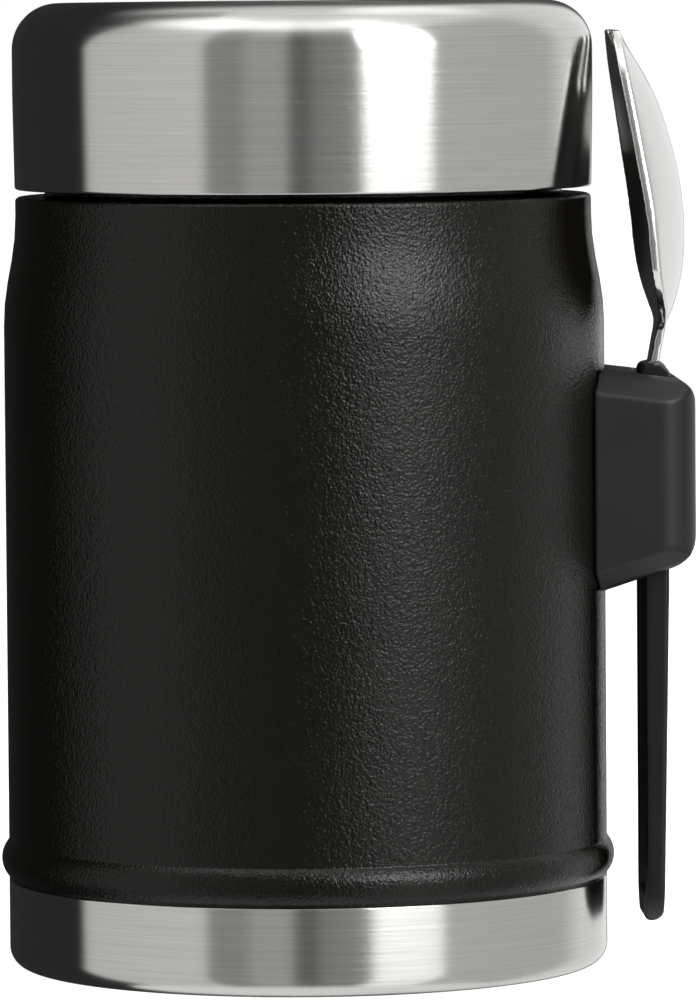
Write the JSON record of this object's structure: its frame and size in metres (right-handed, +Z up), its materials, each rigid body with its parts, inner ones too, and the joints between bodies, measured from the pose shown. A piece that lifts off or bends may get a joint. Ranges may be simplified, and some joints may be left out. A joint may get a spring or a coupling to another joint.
{
  "type": "insulated food jar",
  "caption": "Vacuum-insulated food jar with a screw-off steel lid and a folding spork carried in a soft holder on its side.",
  "frame": {"origin": "centre of the base, on the plane that the jar stands on", "axes": "+Z up along the jar's axis towards the lid, +X from the axis towards the spork holder"},
  "size_m": [0.1023, 0.0906, 0.142],
  "materials": {
    "body_paint": "black pebbled powder coat on steel",
    "brushed_steel": "brushed around the axis",
    "drawn_steel": "satin drawn steel",
    "polished_steel": "mirror polished steel",
    "foil": "bright foil",
    "getter_alloy": "pressed grey tablet",
    "braze": "fused bead",
    "liner_plastic": "satin black",
    "foam": "rigid foam",
    "silicone": "translucent grey silicone",
    "holder_rubber": "dark slate, soft touch",
    "core_plastic": "matt black",
    "handle_plastic": "satin black"
  },
  "bodies": {
    "jar": {"outer_body": "body_paint", "base_cup": "brushed_steel", "bottom_disc": "brushed_steel", "evacuation_seal": "braze", "inner_vessel": "drawn_steel", "radiation_foil": "foil", "getter": "getter_alloy", "getter_clip": "drawn_steel", "holder_block": "holder_rubber", "holder_core": "core_plastic", "holder_plate": "drawn_steel"},
    "lid_seal": {"lid_gasket": "silicone"},
    "lid": {"lid_shell": "brushed_steel", "lid_liner": "liner_plastic", "lid_foam": "foam"},
    "handle": {"spork_handle": "handle_plastic", "pivot_pin": "polished_steel", "pivot_washers": "drawn_steel", "detent_spring": "drawn_steel"},
    "spork": {"spork_head": "polished_steel"}
  },
  "joints": [
    {"name": "lid_lift", "type": "slide", "parent": "jar", "child": "lid_seal", "axis": [0, 0, 1], "range_m": [0, 0.032]},
    {"name": "lid_turn", "type": "hinge", "parent": "lid_seal", "child": "lid", "pos_m": [0, 0, 0.122], "axis": [0, 0, 1], "range_deg": [0, 1440]},
    {"name": "spork_lift", "type": "slide", "parent": "jar", "child": "handle", "axis": [0, 0, 1], "range_m": [0, 0.085]},
    {"name": "spork_fold", "type": "hinge", "parent": "handle", "child": "spork", "pos_m": [0.05158, 0, 0.0872], "axis": [0, 1, 0], "range_deg": [0, 85]}
  ],
  "couplings": [
    {"joint": "lid_lift", "follows": "lid_turn", "m_per_rad": 0.0012732}
  ]
}
